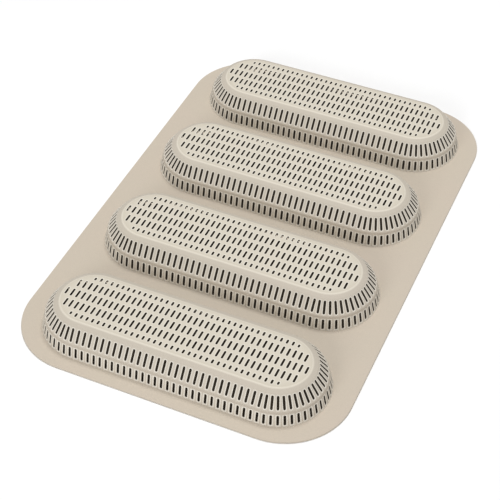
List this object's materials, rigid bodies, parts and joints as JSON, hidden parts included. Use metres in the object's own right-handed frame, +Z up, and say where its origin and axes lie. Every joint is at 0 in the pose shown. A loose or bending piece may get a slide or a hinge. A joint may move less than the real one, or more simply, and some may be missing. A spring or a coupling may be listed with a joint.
{
  "type": "baguette tray",
  "caption": "Perforated silicone baguette tray: a thin flat sheet with a row of long round-ended cups, slotted on their floors and walls.",
  "frame": {"origin": "middle of the underside of the sheet, which the tray lies on with its cup mouths down", "axes": "+Z up, from the cup mouths to the cup floors; X along the cups; Y across the cups, cup 1 at the lowest Y"},
  "size_m": [0.253, 0.385, 0.0252],
  "materials": {
    "silicone": "matte beige silicone with a fine grain"
  },
  "bodies": {
    "root": {"flange_sheet": "silicone", "cup_1_lower_wall": "silicone", "cup_1_upper_wall": "silicone", "cup_1_floor": "silicone", "cup_2_lower_wall": "silicone", "cup_2_upper_wall": "silicone", "cup_2_floor": "silicone", "cup_3_lower_wall": "silicone", "cup_3_upper_wall": "silicone", "cup_3_floor": "silicone", "cup_4_lower_wall": "silicone", "cup_4_upper_wall": "silicone", "cup_4_floor": "silicone"}
  },
  "joints": []
}
